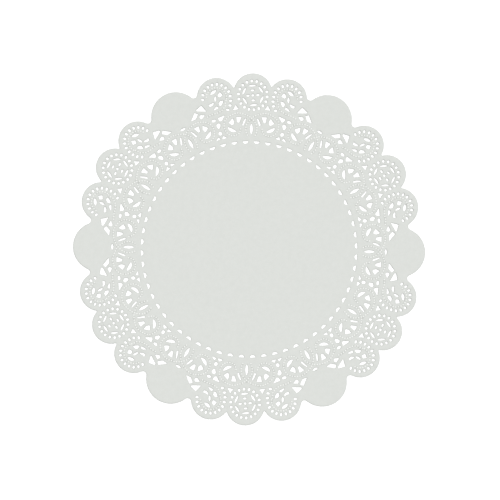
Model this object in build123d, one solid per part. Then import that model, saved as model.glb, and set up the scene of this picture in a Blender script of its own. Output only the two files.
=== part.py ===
from build123d import *
import os
from math import cos, hypot, radians, sin

# A round paper doily: one flat sheet with a scalloped rim, a die-cut lace border and a plain
# centre. Millimetres and degrees, +Z up. The origin is the middle of the underside, and the
# middle of one medallion lobe lies on +Y.
#
# The lace repeats every sixth of a turn. One repeat holds a medallion lobe, a whirl lobe on each
# side of it, and half a plain lobe at each end. All but the medallion is the same on both sides
# of the +Y line, so one side is drawn, with +X to the right, and the other is its mirror image.

# Driving dimensions
sheet_diameter = 254.0
sheet_thickness = 0.1

# The values and points from here on draw the lace on a sheet of this diameter. The finished lace
# grows and shrinks with the sheet.
drawn_diameter = 254.0
lace_scale = sheet_diameter / drawn_diameter

repeats = 6
repeat_angle = 360 / repeats
fan_angle = repeat_angle / 2

# Rim: three kinds of lobe, each a circle, and the hollows between them
medallion_lobe_radius = 13.8
medallion_lobe_centre = (0.6, 113.2)
whirl_lobe_radius = 14.05
whirl_lobe_centre = (25.6, 109.1)
plain_lobe_radius = 17.7
plain_lobe_distance = 109.3
notch_radius = 0.65
saddle_radius = 2.6

# Cuts. The corners of a cut mark its pressed edge, and the opening lies this far inside it.
pressed_edge = 0.09
corner_radius = 0.3
slot_count = 60
slot_circle_radius = 78.2
slot_width = 4.4
slot_depth = 2.1

medallion_centre = (0.65, 111.2)
medallion_turn = 5.5
medallion_bead_count = 18
medallion_bead_circle = 10.4
medallion_bead_length = 2.15
medallion_bead_width = 1.85
petal_count = 6
petal_circle = 7.0
petal_length = 6.6
petal_width = 1.6
seed_distance = 3.6
seed_length = 2.5
seed_width = 1.5
pin_hole_radius = 0.9

whirl_centre = (25.6, 108.7)
whirl_bead_circle = 10.0
whirl_bead_start = -8.5
whirl_bead_step = 19.85
whirl_bead_count = 10
whirl_bead_lean = 15
whirl_bead_lean_step = 3
whirl_tail_beads = [((15.3, 107.0), -10), ((15.7, 103.6), 5), ((17.3, 100.4), 10)]
whirl_bead_length = 2.35
whirl_bead_width = 1.75


def around(angle, shape):
    """The shape turned about the sheet's middle, anticlockwise."""
    return Rot(0, 0, angle) * shape


def bowed_side(start, end, bow):
    """One side of a cut, straight or bowed out to the right of its way by this much."""
    if bow == 0:
        return Line(start, end)
    across = (end[0] - start[0], end[1] - start[1])
    share = bow / hypot(*across)
    middle_x = (start[0] + end[0]) / 2 + share * across[1]
    middle_y = (start[1] + end[1]) / 2 - share * across[0]
    return ThreePointArc(start, (middle_x, middle_y), end)


def cut(*corners, bows=None, rounding=corner_radius):
    """A cut inside corners given anticlockwise, with bowed sides and rounded corners."""
    bows = bows or [0] * len(corners)
    ends = corners[1:] + corners[:1]
    face = make_face([bowed_side(*side) for side in zip(corners, ends, bows)])
    opening = offset(face, amount=-pressed_edge, kind=Kind.INTERSECTION)
    return fillet(opening.vertices(), rounding)


def leaf(tip_a, tip_b, width):
    """A pointed leaf between two tips."""
    return cut(tip_a, tip_b, bows=[width / 2, width / 2], rounding=corner_radius / 2)


def bead(centre, length, width, angle):
    """An oval hole whose length lies along this angle from +X."""
    return Pos(*centre) * Rot(0, 0, angle) * Ellipse(length / 2, width / 2)


def ring_bead(centre, distance, angle, length, width, lean=0):
    """An oval hole on a circle, whose length points at the circle's centre or leans off it."""
    place = (centre[0] + distance * cos(radians(angle)), centre[1] + distance * sin(radians(angle)))
    return bead(place, length, width, angle + lean)


def slots():
    """The ring of half-moon slots round the plain centre, bellied inwards."""
    slot = cut(
        (slot_width / 2, slot_circle_radius), (-slot_width / 2, slot_circle_radius), bows=[0, slot_depth]
    )
    step = 360 / slot_count
    return [around((place + 0.5) * step, slot) for place in range(slot_count)]


def fan_side():
    """Right side of a fan: the cuts between its eye and the next cluster."""
    return [
        cut((3.7, 94.5), (5.2, 90.1), (6.0, 88.5), (6.8, 89.9), (5.8, 92.4), (4.65, 94.5)),
        cut((7.1, 95.6), (8.7, 91.3), (10.3, 91.3), (11.2, 95.6)),
        cut((13.6, 94.6), (12.4, 91.8), (13.0, 89.4), (14.2, 89.4), (16.7, 91.0)),
        cut((10.4, 84.9), (17.2, 88.2), bows=[2.1, 0.4]),
    ]


def eye():
    """The upright leaf in the middle of a fan."""
    return leaf((0, 82.6), (0, 91.2), width=2.3)


def cluster():
    """The six cuts between a medallion's fan and the next fan."""
    return [
        cut((18.9, 96.8), (21.6, 91.9), (23.0, 92.0), (24.7, 94.2)),
        bead((27.2, 92.1), length=3.2, width=2.05, angle=-20),
        cut((22.1, 89.4), (22.8, 86.7), (24.2, 86.5), (25.5, 88.9), (24.1, 90.6), (22.8, 90.4)),
        bead((22.3, 83.1), length=2.9, width=2.5, angle=60),
        cut((16.9, 80.2), (21.0, 78.7), (20.35, 81.6)),
        cut((22.0, 78.9), (25.8, 77.1), (23.4, 80.7)),
    ]


def whirl():
    """A whirl lobe: a string of beads that opens into a tail, round six curled cuts."""
    beads = [
        ring_bead(
            whirl_centre,
            whirl_bead_circle,
            whirl_bead_start + place * whirl_bead_step,
            whirl_bead_length,
            whirl_bead_width,
            whirl_bead_lean - place * whirl_bead_lean_step,
        )
        for place in range(whirl_bead_count)
    ]
    beads += [
        bead(place, whirl_bead_length, whirl_bead_width, angle) for place, angle in whirl_tail_beads
    ]
    return beads + [
        leaf((25.7, 114.6), (30.3, 110.9), width=2.4),
        cut((21.0, 110.7), (23.3, 109.1), (24.3, 109.6), (24.9, 111.2), (23.1, 113.4)),
        bead((26.4, 108.0), length=4.0, width=1.6, angle=90),
        cut((20.4, 107.2), (20.9, 105.2), (22.1, 103.1), (23.3, 102.9), (24.0, 105.2), (22.7, 106.9)),
        cut((26.9, 105.0), (28.2, 103.0), (30.3, 102.0), (31.5, 103.8), (29.7, 104.3), (28.1, 105.3)),
        cut((23.5, 101.6), (28.2, 98.9), (26.3, 102.0), (24.9, 102.9)),
    ]


def fillers():
    """The cuts that fill the corners below the lobes."""
    trefoil = cut((8.9, 101.1), (14.2, 100.1), (11.7, 105.1), bows=[0.1, -0.5, -0.5])
    return [
        trefoil,
        cut((32.3, 98.7), (39.7, 98.7), (40.2, 99.8), (36.5, 103.2)),
        cut((33.3, 96.3), (35.6, 93.3), (36.6, 93.2), (37.8, 94.6), (37.2, 96.2)),
        cut((38.6, 96.9), (40.0, 93.1), (43.9, 91.2), (41.3, 97.8)),
    ]


def medallion():
    """A medallion: a string of beads round six petals, four seeds and a pin hole."""
    petal = leaf((petal_length / 2, petal_circle), (-petal_length / 2, petal_circle), petal_width)
    petals = [Rot(0, 0, place * 360 / petal_count) * petal for place in range(petal_count)]
    beads = [
        ring_bead(
            (0, 0),
            medallion_bead_circle,
            90 + place * 360 / medallion_bead_count,
            medallion_bead_length,
            medallion_bead_width,
        )
        for place in range(medallion_bead_count)
    ]
    seeds = [
        bead(place, seed_length, seed_width, 0)
        for place in [(seed_distance, 0), (-seed_distance, 0), (0, seed_distance), (0, -seed_distance)]
    ]
    cuts = petals + beads + seeds + [Circle(pin_hole_radius)]
    return [Pos(*medallion_centre) * Rot(0, 0, medallion_turn) * shape for shape in cuts]


def lace_cuts():
    """Every cut of the lace, all the way round."""
    one_side = whirl() + fillers() + cluster()
    other_side = [mirror(shape, about=Plane.YZ) for shape in one_side]
    plain_lobe_leaf = around(fan_angle, leaf((2.4, 98.7), (-2.4, 98.7), width=1.9))
    repeat = medallion() + one_side + other_side + [plain_lobe_leaf]

    fan = [eye()] + fan_side() + [mirror(shape, about=Plane.YZ) for shape in fan_side()]
    repeat += fan + [around(fan_angle, shape) for shape in fan]
    turned = [around(place * repeat_angle, shape) for place in range(repeats) for shape in repeat]
    return slots() + turned


def turned_point(point, angle):
    """A point turned about the sheet's middle, anticlockwise."""
    turned = Vector(*point).rotate(Axis.Z, angle)
    return (turned.X, turned.Y)


def rim_lobes():
    """Centre and radius of each lobe, anticlockwise, with the radius of the hollow after it."""
    mirrored_whirl = (-whirl_lobe_centre[0], whirl_lobe_centre[1])
    plain = turned_point((0, plain_lobe_distance), fan_angle)
    one_repeat = [
        (whirl_lobe_centre, whirl_lobe_radius, notch_radius),
        (medallion_lobe_centre, medallion_lobe_radius, notch_radius),
        (mirrored_whirl, whirl_lobe_radius, saddle_radius),
        (plain, plain_lobe_radius, saddle_radius),
    ]
    return [
        (Vector(*turned_point(centre, place * repeat_angle)), radius, hollow)
        for place in range(repeats)
        for centre, radius, hollow in one_repeat
    ]


def hollow_arc(first, second):
    """The small arc that runs from one lobe's circle to the next and touches both."""
    centre_a, radius_a, hollow = first
    centre_b, radius_b, _ = second
    reach_a, reach_b = radius_a + hollow, radius_b + hollow
    gap = centre_b - centre_a
    along = (reach_a**2 - reach_b**2 + gap.length**2) / (2 * gap.length)
    out = (reach_a**2 - along**2) ** 0.5
    middle = centre_a + gap.normalized() * along + gap.normalized().rotate(Axis.Z, -90) * out
    touch_a = middle + (centre_a - middle).normalized() * hollow
    touch_b = middle + (centre_b - middle).normalized() * hollow
    deepest = middle - middle.normalized() * hollow
    return touch_a, deepest, touch_b


def rim():
    """The scalloped outline, lobe by lobe."""
    lobes = rim_lobes()
    hollows = [hollow_arc(lobe, lobes[(place + 1) % len(lobes)]) for place, lobe in enumerate(lobes)]
    edges = []
    for place, (centre, radius, _) in enumerate(lobes):
        start = hollows[place - 1][2]
        end = hollows[place][0]
        top = centre + centre.normalized() * radius
        edges.append(ThreePointArc(start, top, end))
        edges.append(ThreePointArc(*hollows[place]))
    return Wire(edges)


lace = Face(rim(), [shape.face().outer_wire() for shape in lace_cuts()])
sheet = extrude(scale(lace, by=lace_scale), amount=sheet_thickness, dir=(0, 0, 1))

os.makedirs("parts", exist_ok=True)
export_step(sheet, "parts/doily_sheet.step")
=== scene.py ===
import math

import bmesh
import bpy
import numpy as np
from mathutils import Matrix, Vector, kdtree
from mathutils.bvhtree import BVHTree
from mathutils.geometry import delaunay_2d_cdt


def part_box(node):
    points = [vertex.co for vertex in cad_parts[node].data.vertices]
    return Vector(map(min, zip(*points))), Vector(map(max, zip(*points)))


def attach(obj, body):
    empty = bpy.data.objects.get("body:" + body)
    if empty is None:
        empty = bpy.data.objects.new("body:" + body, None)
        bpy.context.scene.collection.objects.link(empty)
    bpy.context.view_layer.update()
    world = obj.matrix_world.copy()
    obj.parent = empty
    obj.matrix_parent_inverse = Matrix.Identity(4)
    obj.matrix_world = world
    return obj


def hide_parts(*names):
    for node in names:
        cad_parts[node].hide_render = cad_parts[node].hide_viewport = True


# A round lace paper doily, lying on a pale table top. The frame holds the flat die-cut sheet.
# Here the sheet gets its embossing, its turned-down cut edges, its slight lift off the table and
# its paper.

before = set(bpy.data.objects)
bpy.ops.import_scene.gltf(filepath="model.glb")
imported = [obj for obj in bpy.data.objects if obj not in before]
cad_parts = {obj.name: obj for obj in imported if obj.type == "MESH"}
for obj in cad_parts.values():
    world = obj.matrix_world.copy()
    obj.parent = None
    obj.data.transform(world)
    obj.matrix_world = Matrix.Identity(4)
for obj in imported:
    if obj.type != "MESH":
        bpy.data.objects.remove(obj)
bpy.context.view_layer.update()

MM = 0.001
SHEET = "doily_sheet"
sheet_low, sheet_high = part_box(SHEET)
SHEET_DIAMETER = sheet_high.y - sheet_low.y
SHEET_RADIUS = 0.5 * SHEET_DIAMETER
PAPER_THICKNESS = sheet_high.z - sheet_low.z
WELD_DISTANCE = 0.001 * MM

# The embossing below is drawn in millimetres on a sheet of 254 mm, and grows with the sheet.
EMBOSS_SCALE = SHEET_DIAMETER / (254 * MM)
UNIT = MM * EMBOSS_SCALE

# The fans of the lace stand a twelfth of a turn apart, and the medallions a sixth.
FAN_STEP = math.radians(30)
MEDALLION_STEP = math.radians(60)

# Strings of raised dots, as the points that each string bends through, one side of the +Y line
EYE_STRING = [(0.0, 94.5), (1.3, 93.2), (3.4, 90.2), (4.0, 87.2), (3.7, 84.5), (2.9, 82.4)]
FAN_STRING = [
    (1.3, 95.6), (4.8, 97.2), (10.2, 98.2), (15.5, 96.2), (19.2, 92.3), (19.4, 87.2),
    (16.9, 83.1), (12.9, 81.8), (9.0, 83.3), (7.7, 86.8),
]
WHIRL_TAIL = [
    (18.7, 107.0), (19.1, 104.9), (19.1, 103.3), (20.2, 101.5), (21.4, 99.9), (23.1, 98.7),
    (24.8, 97.8), (28.3, 96.7), (30.2, 95.8), (31.8, 94.8),
]
DOT_PITCH = 1.9
DOT_RADIUS = 0.72
DOT_TOP_RADIUS = 0.38
DOT_HEIGHT = 0.2
STRING_STEPS = 24
ON_MIRROR_LINE = 0.1

WHIRL_CENTRE = (25.6, 108.7)
WHIRL_DOT_CIRCLE = 7.35
WHIRL_DOT_ANGLES = range(3, 190, 15)

# The cut edges turn down, and the webs between cuts are crowned
EDGE_DROP = 0.11
EDGE_REACH = 0.32
CROWN_HEIGHT = 0.05
CROWN_REACH = 1.2

# The border stands a little off the table. The lift starts at this share of the sheet's radius and
# reaches LIFT at the rim, more or less by the waves: how many go round, their height as a share of
# the lift, and where they start in radians.
LIFT = 0.25 * MM
LIFT_FROM = 0.6
LIFT_CURVE = 1.5
LIFT_WAVES = [(2, 0.45, 0.7), (3, 0.3, 2.4), (7, 0.2, 1.1)]

# Spacing of the mesh's points: in the lace, in the plain centre, beside the cuts, and in the band
# round each raised dot where the paper's tone changes
LACE_INNER = 73.0
LACE_PITCH = 1.5
PLAIN_PITCH = 4.0
LIP_WIDTH = 0.42
DOT_BAND_PITCH = 0.9
DOT_BAND_INNER = 0.95
DOT_BAND_OUTER = 1.6

# The least gaps: in millimetres from a dot's points to a cut and to the points beside the cuts,
# and as shares of a row's own spacing for the rest
DOT_TO_CUT = 0.25
LIP_TO_DOT = 0.3
LIP_GAP_SHARE = 0.75
DOT_BAND_GAP_SHARE = 0.5
LACE_GAP_SHARE = 0.62

# An outline keeps a point where it bends more than this or has run this far, in millimetres. The
# distance to a cut is measured to points this close together.
LEAST_BEND = math.radians(25)
LONGEST_SIDE = 1.6
CUT_SAMPLE = 0.15

# How the triangulation is asked for
WHOLE_HULL = 0
MERGE_DISTANCE = 1e-9

# Sockets of Blender's Mix node that it has no plain names for: its two colours and its result
MIX_UNDER = 6
MIX_OVER = 7
MIX_RESULT = 2

# Painted light and shade on the paper, in millimetres from a cut or from a dot's middle: how far
# the painted shade along a cut edge reaches, where the painted highlight on a dot's top ends, and
# where the painted shadow in the crease round it starts and fades out, with its strength
EDGE_SHADE_REACH = 0.6
DOT_HIGHLIGHT_END = (0.4, 0.6)
CREASE_SHADE_START = (0.5, 0.7)
CREASE_SHADE_END = (0.8, 1.1)
CREASE_SHADE_STRENGTH = 0.7

# Patches where the painted shade along the cuts and in the creases is stronger and weaker: where
# the noise is cut, and how dark each is
SHADE_PATCH_RANGE = (0.35, 0.65)
SHADE_PATCH_LEAST = 0.2
SHADE_PATCH_SCALE = 340

# Clouds and fibres: the length and width of a fibre, the ways the fibres lie, and where the noise
# is cut for each
CLOUD_SCALE = 260
CLOUD_RANGE = (0.3, 0.7)
FIBRE_RANGE = (0.55, 0.75)
FIBRE_BEND = 0.6
FIBRE_SIZE = (2.5 * MM, 0.18 * MM, 1 * MM)
FIBRE_HEADINGS = (12, 71, 133)
PAPER_ROUGHNESS = 0.85
PAPER_SHINE = 0.25
FIBRE_BUMP = 0.4
FIBRE_HEIGHT = 0.02 * MM
PAPER_COLOUR = (0.60, 0.617, 0.59, 1)
PAPER_CLOUD_COLOUR = (0.615, 0.632, 0.605, 1)
PAPER_FIBRE_COLOUR = (0.65, 0.66, 0.64, 1)
# Painted shade along the cut edges and in the creases round the dots, and a painted highlight on the
# tops of the dots
PAINTED_EDGE_SHADE_COLOUR = (0.51, 0.525, 0.50, 1)
PAINTED_CREASE_SHADE_COLOUR = (0.465, 0.48, 0.455, 1)
PAINTED_DOT_HIGHLIGHT_COLOUR = (0.81, 0.82, 0.80, 1)
FLOOR_COLOUR = (0.96, 0.96, 0.96, 1)
FLOOR_REACH = 4.0
FLOOR_GAP = 0.02 * MM

# Light and camera, in metres and radians
WORLD_STRENGTH = 0.25
LAMP_FROM = (0.12, 0.16, 1.0)
LAMP_SPREAD = math.radians(20)
LAMP_STRENGTH = 3.0
CAMERA_LENS = 85
CAMERA_SENSOR = 36
VIEW_WIDTH = 0.3608
CAMERA_ASIDE = (0.69 * MM, -0.42 * MM)
CAMERA_ROLL = math.radians(1.1)


def smooth(value):
    """Nought to one with a soft start and end."""
    value = np.clip(value, 0, 1)
    return value * value * (3 - 2 * value)


def flat_top():
    """The flat top face of the die-cut sheet."""
    flat = bmesh.new()
    flat.from_mesh(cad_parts[SHEET].data)
    bmesh.ops.remove_doubles(flat, verts=flat.verts, dist=WELD_DISTANCE)
    not_top = [face for face in flat.faces if face.normal.z < 0.5]
    bmesh.ops.delete(flat, geom=not_top, context="FACES")
    return flat


def signed_area(outline):
    """Area inside an outline: above nought when it runs anticlockwise."""
    return 0.5 * sum(a.cross(b) for a, b in zip(outline, outline[1:] + outline[:1]))


def in_order(outline):
    """The same outline, started at its leftmost point and run anticlockwise."""
    first = min(range(len(outline)), key=lambda place: tuple(outline[place]))
    outline = outline[first:] + outline[:first]
    return outline if signed_area(outline) > 0 else outline[:1] + outline[:0:-1]


def outlines_of(flat):
    """The outlines of the rim and the cuts, as closed rows of points, in the same order each run."""
    outlines = []
    waiting = {edge for edge in flat.edges if edge.is_boundary}
    while waiting:
        edge = waiting.pop()
        start, point = edge.verts
        outline = [start.co.xy.copy()]
        while point is not start:
            outline.append(point.co.xy.copy())
            edge = next(e for e in point.link_edges if e in waiting)
            waiting.discard(edge)
            point = edge.other_vert(point)
        outlines.append(in_order(outline))
    return sorted(outlines, key=lambda outline: tuple(outline[0]))


def divided(outline, gap):
    """The outline with points added so that none are further apart than the gap."""
    points = []
    for start, end in zip(outline, outline[1:] + outline[:1]):
        parts = math.ceil((end - start).length / gap)
        points += [start.lerp(end, part / parts) for part in range(parts)]
    return points


def thinned(outline):
    """The outline with only the points that its bends need, and no side that is too long."""
    reach = LONGEST_SIDE * UNIT
    kept = [outline[0]]
    heading = outline[1] - outline[0]
    for point, after in zip(outline[1:], outline[2:] + outline[:1]):
        leaving = after - point
        bent = abs(heading.angle(leaving)) > LEAST_BEND
        if bent or (after - kept[-1]).length > reach:
            kept.append(point)
            heading = leaving
    return divided(kept, reach)


def lip(outline, reach):
    """Points beside an outline, on the paper's side of it."""
    before, after = outline[-1:] + outline[:-1], outline[1:] + outline[:1]
    span = max(point.x for point in outline) - min(point.x for point in outline)
    is_rim = span > SHEET_RADIUS
    side = 1 if (signed_area(outline) > 0) == is_rim else -1
    points = []
    for previous, point, following in zip(before, outline, after):
        along = (following - previous).normalized()
        points.append(point + side * reach * Vector((-along.y, along.x)))
    return points


def string_of_dots(bends, pitch):
    """Evenly spaced places along a smooth line through the bends."""
    ends = [bends[0], *bends, bends[-1]]
    line = []
    for a, b, c, d in zip(ends, ends[1:], ends[2:], ends[3:]):
        a, b, c, d = (Vector(p) for p in (a, b, c, d))
        for share in np.linspace(0, 1, STRING_STEPS, endpoint=False):
            line.append(
                0.5 * (2 * b + (c - a) * share + (2 * a - 5 * b + 4 * c - d) * share**2
                       + (3 * b - a - 3 * c + d) * share**3)
            )
    line.append(Vector(bends[-1]))
    gaps = [0.0] + [(q - p).length for p, q in zip(line, line[1:])]
    along = np.cumsum(gaps)
    count = round(along[-1] / pitch) + 1
    places = np.linspace(0, along[-1], count)
    xs = np.interp(places, along, [p.x for p in line])
    ys = np.interp(places, along, [p.y for p in line])
    return [Vector(place) for place in zip(xs, ys)]


def turned(points, angle):
    """The points turned anticlockwise about the sheet's middle."""
    c, s = math.cos(angle), math.sin(angle)
    return [Vector((c * p.x - s * p.y, s * p.x + c * p.y)) for p in points]


def both_sides(points):
    """The points and their mirror images across the +Y line."""
    return points + [Vector((-p.x, p.y)) for p in points if p.x > ON_MIRROR_LINE]


def all_round(points, step):
    """The points repeated round the whole sheet, in metres."""
    count = round(2 * math.pi / step)
    return [UNIT * p for place in range(count) for p in turned(points, place * step)]


def dot_places():
    """The middle of every raised dot."""
    fan = string_of_dots(EYE_STRING, DOT_PITCH) + string_of_dots(FAN_STRING, DOT_PITCH)
    centre = Vector(WHIRL_CENTRE)
    angles = [math.radians(angle) for angle in WHIRL_DOT_ANGLES]
    whirl = [centre + WHIRL_DOT_CIRCLE * Vector((math.cos(a), math.sin(a))) for a in angles]
    whirl += string_of_dots(WHIRL_TAIL, DOT_PITCH)
    return all_round(both_sides(fan), FAN_STEP) + all_round(both_sides(whirl), MEDALLION_STEP)


def tree_of(points):
    """A search tree that finds the nearest of these points."""
    tree = kdtree.KDTree(len(points))
    for place, point in enumerate(points):
        tree.insert((point[0], point[1], 0), place)
    tree.balance()
    return tree


def distances(points, tree):
    """How far each point is from the nearest point of a tree."""
    return np.array([tree.find((p[0], p[1], 0))[2] for p in points])


def triangle_grid(inner, outer, pitch):
    """Evenly spread points between two circles about the sheet's middle."""
    rows = int(outer / (pitch * math.sqrt(0.75))) + 1
    points = []
    for row in range(-rows, rows + 1):
        y = row * pitch * math.sqrt(0.75)
        for column in range(-int(outer / pitch) - 1, int(outer / pitch) + 2):
            point = Vector(((column + 0.5 * (row % 2)) * pitch, y))
            if inner <= point.length < outer:
                points.append(point)
    return points


def spaced(points, taken, gap):
    """The points that keep this gap from every point already taken."""
    away = distances(points, tree_of(taken))
    return [point for point, distance in zip(points, away) if distance > gap]


def dot_share(from_dot):
    """One on the top of a raised dot, nought at its foot, from the distance to its middle."""
    return smooth((DOT_RADIUS - from_dot) / (DOT_RADIUS - DOT_TOP_RADIUS))


def embossed(from_cut, from_dot):
    """Height of the embossing, from distances to the nearest cut and raised dot."""
    from_cut, from_dot = from_cut / UNIT, from_dot / UNIT
    edge = -EDGE_DROP * np.exp(-((from_cut / EDGE_REACH) ** 2))
    crown = CROWN_HEIGHT * (1 - np.exp(-((from_cut / EDGE_REACH) ** 2)))
    crown *= np.exp(-((from_cut / CROWN_REACH) ** 2))
    return UNIT * (edge + crown + DOT_HEIGHT * dot_share(from_dot))


def lifted(x, y):
    """How far the paper stands off the table: flat in the middle, with a slightly wavy border."""
    radius = np.hypot(x, y) / SHEET_RADIUS
    angle = np.arctan2(y, x)
    wave = 1
    for count, height, start in LIFT_WAVES:
        wave = wave + height * np.sin(count * angle + start)
    return LIFT * wave * smooth((radius - LIFT_FROM) / (1 - LIFT_FROM)) ** LIFT_CURVE


def dot_rings():
    """The steps from a dot's middle to the points round its top and its foot."""
    angles = [place * math.pi / 3 for place in range(6)]
    top = [DOT_TOP_RADIUS * Vector((math.cos(a), math.sin(a))) for a in angles]
    between = [angle + math.pi / 6 for angle in angles]
    foot = [DOT_RADIUS * Vector((math.cos(a), math.sin(a))) for a in between]
    return top + foot


def sheet_mesh_points(outlines, dots):
    """The points inside the paper that carry the embossing, clear of the cuts and of each other."""
    edge_points = [point for outline in outlines for point in outline]
    lips = [point for outline in outlines for point in lip(outline, LIP_WIDTH * UNIT)]
    lips = spaced(lips, edge_points, LIP_GAP_SHARE * LIP_WIDTH * UNIT)
    bumps = [dot + UNIT * step for dot in dots for step in dot_rings()]
    bumps = spaced(bumps, edge_points, DOT_TO_CUT * UNIT)
    chosen = spaced(lips, bumps, LIP_TO_DOT * UNIT) + bumps
    band = triangle_grid(LACE_INNER * UNIT, SHEET_RADIUS, DOT_BAND_PITCH * UNIT)
    away = distances(band, tree_of(dots)) / UNIT
    band = [point for point, gap in zip(band, away) if DOT_BAND_INNER < gap < DOT_BAND_OUTER]
    chosen += spaced(band, edge_points + chosen, DOT_BAND_GAP_SHARE * DOT_BAND_PITCH * UNIT)
    lace = triangle_grid(LACE_INNER * UNIT, SHEET_RADIUS, LACE_PITCH * UNIT)
    chosen += spaced(lace, edge_points + chosen, LACE_GAP_SHARE * LACE_PITCH * UNIT)
    chosen += triangle_grid(0, LACE_INNER * UNIT, PLAIN_PITCH * UNIT)
    return chosen


def on_paper(place, sheet):
    """Whether there is paper at a place, and not a cut or the table beside the rim."""
    return sheet.ray_cast(Vector((*place, 1)), Vector((0, 0, -1)))[0] is not None


def middle(places, corners):
    """The middle of a triangle."""
    return sum((places[corner] for corner in corners), Vector((0, 0))) / len(corners)


def build_sheet():
    """The embossed sheet: the flat lace filled with triangles, raised, and given its thickness.

    No operator fills an outline that has hundreds of holes with even triangles, so the fill comes
    from a triangulation of the outlines and the points between them.
    """
    flat = flat_top()
    cut_area = sum(face.calc_area() for face in flat.faces)
    outlines = outlines_of(flat)
    sheet = BVHTree.FromBMesh(flat)
    flat.free()
    every_cut = tree_of([point for outline in outlines for point in divided(outline, CUT_SAMPLE * UNIT)])
    outlines = [thinned(outline) for outline in outlines]
    dots = dot_places()
    points, edges = [], []
    for outline in outlines:
        numbers = [len(points) + place for place in range(len(outline))]
        edges += zip(numbers, numbers[1:] + numbers[:1])
        points += outline
    points += [point for point in sheet_mesh_points(outlines, dots) if on_paper(point, sheet)]
    filled = delaunay_2d_cdt(points, edges, [], WHOLE_HULL, MERGE_DISTANCE)
    places = filled[0]
    triangles = [corners for corners in filled[2] if on_paper(middle(places, corners), sheet)]

    x = np.array([place.x for place in places])
    y = np.array([place.y for place in places])
    from_cut = distances(places, every_cut)
    from_dot = distances(places, tree_of(dots))
    z = sheet_high.z + EDGE_DROP * UNIT + lifted(x, y) + embossed(from_cut, from_dot)

    mesh = bpy.data.meshes.new("doily")
    mesh.from_pydata(np.column_stack([x, y, z]).tolist(), [], triangles)
    for name, distance in (("from_cut", from_cut), ("from_dot", from_dot)):
        attribute = mesh.attributes.new(name, "FLOAT", "POINT")
        attribute.data.foreach_set("value", (distance / UNIT).astype(np.float32))
    mesh.shade_smooth()
    doily = bpy.data.objects.new("doily", mesh)
    bpy.context.scene.collection.objects.link(doily)
    solid = doily.modifiers.new("paper thickness", "SOLIDIFY")
    solid.thickness = PAPER_THICKNESS
    solid.offset = -1
    return doily


def set_up(material_name):
    """A new node material: the material, its nodes, its links and its main shader."""
    material = bpy.data.materials.new(material_name)
    material.use_nodes = True
    nodes, links = material.node_tree.nodes, material.node_tree.links
    return material, nodes, links, nodes["Principled BSDF"]


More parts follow.
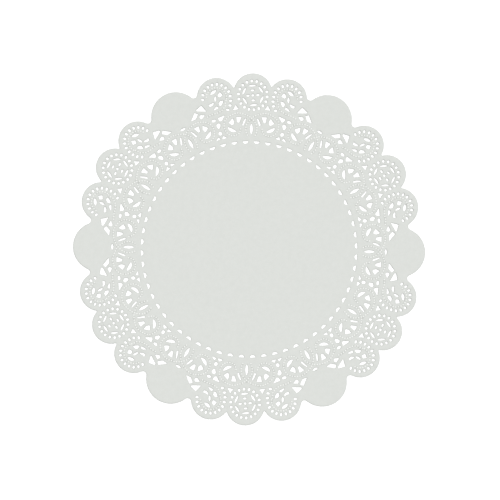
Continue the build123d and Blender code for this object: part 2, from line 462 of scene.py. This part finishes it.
def white_lace_paper():
    """Thin matt white paper, cloudy and crossed by fine fibres, with painted shade along the cuts and
    round the raised dots and a painted highlight on the dots' tops.
    """
    material, nodes, links, shader = set_up("white lace paper")
    shader.inputs["Roughness"].default_value = PAPER_ROUGHNESS
    shader.inputs["Specular IOR Level"].default_value = PAPER_SHINE
    place = nodes.new("ShaderNodeTexCoord").outputs["Object"]

    def noise(vector, scale, detail, distortion):
        node = nodes.new("ShaderNodeTexNoise")
        node.inputs["Scale"].default_value = scale
        node.inputs["Detail"].default_value = detail
        node.inputs["Distortion"].default_value = distortion
        links.new(vector, node.inputs["Vector"])
        return node.outputs["Fac"]

    def ramped(value, low, high, low_out=0.0, high_out=1.0):
        node = nodes.new("ShaderNodeMapRange")
        node.interpolation_type = "SMOOTHSTEP"
        node.inputs["From Min"].default_value = low
        node.inputs["From Max"].default_value = high
        node.inputs["To Min"].default_value = low_out
        node.inputs["To Max"].default_value = high_out
        links.new(value, node.inputs["Value"])
        return node.outputs["Result"]

    def combined(operation, first, second):
        node = nodes.new("ShaderNodeMath")
        node.operation = operation
        links.new(first, node.inputs[0])
        links.new(second, node.inputs[1])
        return node.outputs["Value"]

    def painted(under, amount, colour):
        node = nodes.new("ShaderNodeMix")
        node.data_type = "RGBA"
        links.new(amount, node.inputs["Factor"])
        if isinstance(under, tuple):
            node.inputs[MIX_UNDER].default_value = under
        else:
            links.new(under, node.inputs[MIX_UNDER])
        node.inputs[MIX_OVER].default_value = colour
        return node.outputs[MIX_RESULT]

    def measured(attribute_name):
        node = nodes.new("ShaderNodeAttribute")
        node.attribute_name = attribute_name
        return node.outputs["Fac"]

    def fibres(heading):
        node = nodes.new("ShaderNodeMapping")
        node.vector_type = "TEXTURE"
        node.inputs["Rotation"].default_value = (0, 0, heading)
        node.inputs["Scale"].default_value = FIBRE_SIZE
        links.new(place, node.inputs["Vector"])
        streaks = noise(node.outputs["Vector"], scale=1, detail=2, distortion=FIBRE_BEND)
        return ramped(streaks, *FIBRE_RANGE)

    strands = [fibres(math.radians(heading)) for heading in FIBRE_HEADINGS]
    fibre = strands[0]
    for strand in strands[1:]:
        fibre = combined("MAXIMUM", fibre, strand)
    cloud = noise(place, scale=CLOUD_SCALE, detail=4, distortion=0)
    shade_patches = noise(place, scale=SHADE_PATCH_SCALE, detail=1, distortion=0)

    colour = painted(PAPER_COLOUR, ramped(cloud, *CLOUD_RANGE), PAPER_CLOUD_COLOUR)
    colour = painted(colour, fibre, PAPER_FIBRE_COLOUR)
    from_cut = measured("from_cut")
    from_dot = measured("from_dot")
    # Painted shadow in the crease round each raised dot
    crease_shade_end = ramped(from_dot, *CREASE_SHADE_END, CREASE_SHADE_STRENGTH, 0)
    crease_shade = combined("MULTIPLY", ramped(from_dot, *CREASE_SHADE_START), crease_shade_end)
    # Patches where the painted shade is stronger and weaker
    uneven_shade = ramped(shade_patches, *SHADE_PATCH_RANGE, SHADE_PATCH_LEAST, 1)
    # Painted shade along every cut edge
    edge = combined("MULTIPLY", ramped(from_cut, 0, EDGE_SHADE_REACH, 1, 0), uneven_shade)
    colour = painted(colour, combined("MULTIPLY", crease_shade, uneven_shade), PAINTED_CREASE_SHADE_COLOUR)
    colour = painted(colour, edge, PAINTED_EDGE_SHADE_COLOUR)
    # Painted highlight on the top of each raised dot
    colour = painted(colour, ramped(from_dot, *DOT_HIGHLIGHT_END, 1, 0), PAINTED_DOT_HIGHLIGHT_COLOUR)
    links.new(colour, shader.inputs["Base Color"])

    bump = nodes.new("ShaderNodeBump")
    bump.inputs["Strength"].default_value = FIBRE_BUMP
    bump.inputs["Distance"].default_value = FIBRE_HEIGHT
    links.new(fibre, bump.inputs["Height"])
    links.new(bump.outputs["Normal"], shader.inputs["Normal"])
    return material


def table_top():
    """The plain pale floor."""
    shape = bmesh.new()
    bmesh.ops.create_grid(shape, x_segments=1, y_segments=1, size=FLOOR_REACH)
    bmesh.ops.translate(shape, vec=(0, 0, -FLOOR_GAP), verts=shape.verts)
    mesh = bpy.data.meshes.new("floor")
    shape.to_mesh(mesh)
    shape.free()
    floor = bpy.data.objects.new("floor", mesh)
    bpy.context.scene.collection.objects.link(floor)
    material, _, _, shader = set_up("pale floor")
    shader.inputs["Base Color"].default_value = FLOOR_COLOUR
    shader.inputs["Roughness"].default_value = 1.0
    shader.inputs["Specular IOR Level"].default_value = 0.0
    mesh.materials.append(material)
    return floor


def studio_light():
    """Soft light from all over, with a broad far lamp above and to the upper right."""
    world = bpy.data.worlds.new("studio")
    world.use_nodes = True
    world.node_tree.nodes["Background"].inputs["Color"].default_value = (1, 1, 1, 1)
    world.node_tree.nodes["Background"].inputs["Strength"].default_value = WORLD_STRENGTH
    bpy.context.scene.world = world
    lamp = bpy.data.lights.new("softbox", "SUN")
    lamp.angle = LAMP_SPREAD
    lamp.energy = LAMP_STRENGTH
    light = bpy.data.objects.new("softbox", lamp)
    light.location = LAMP_FROM
    light.rotation_euler = (-Vector(LAMP_FROM)).to_track_quat("-Z", "Y").to_euler()
    bpy.context.scene.collection.objects.link(light)


def camera():
    """Looks straight down, turned so that the lace leans a little clockwise."""
    lens = bpy.data.cameras.new("camera")
    lens.lens = CAMERA_LENS
    lens.sensor_width = CAMERA_SENSOR
    eye = bpy.data.objects.new("camera", lens)
    eye.location = (*CAMERA_ASIDE, VIEW_WIDTH * CAMERA_LENS / CAMERA_SENSOR)
    eye.rotation_euler = (0, 0, CAMERA_ROLL)
    bpy.context.scene.collection.objects.link(eye)
    bpy.context.scene.camera = eye


camera()
studio_light()
table_top()

doily = build_sheet()
doily.data.materials.append(white_lace_paper())
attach(doily, "root")
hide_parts(SHEET)

bpy.context.scene.view_settings.view_transform = "Standard"
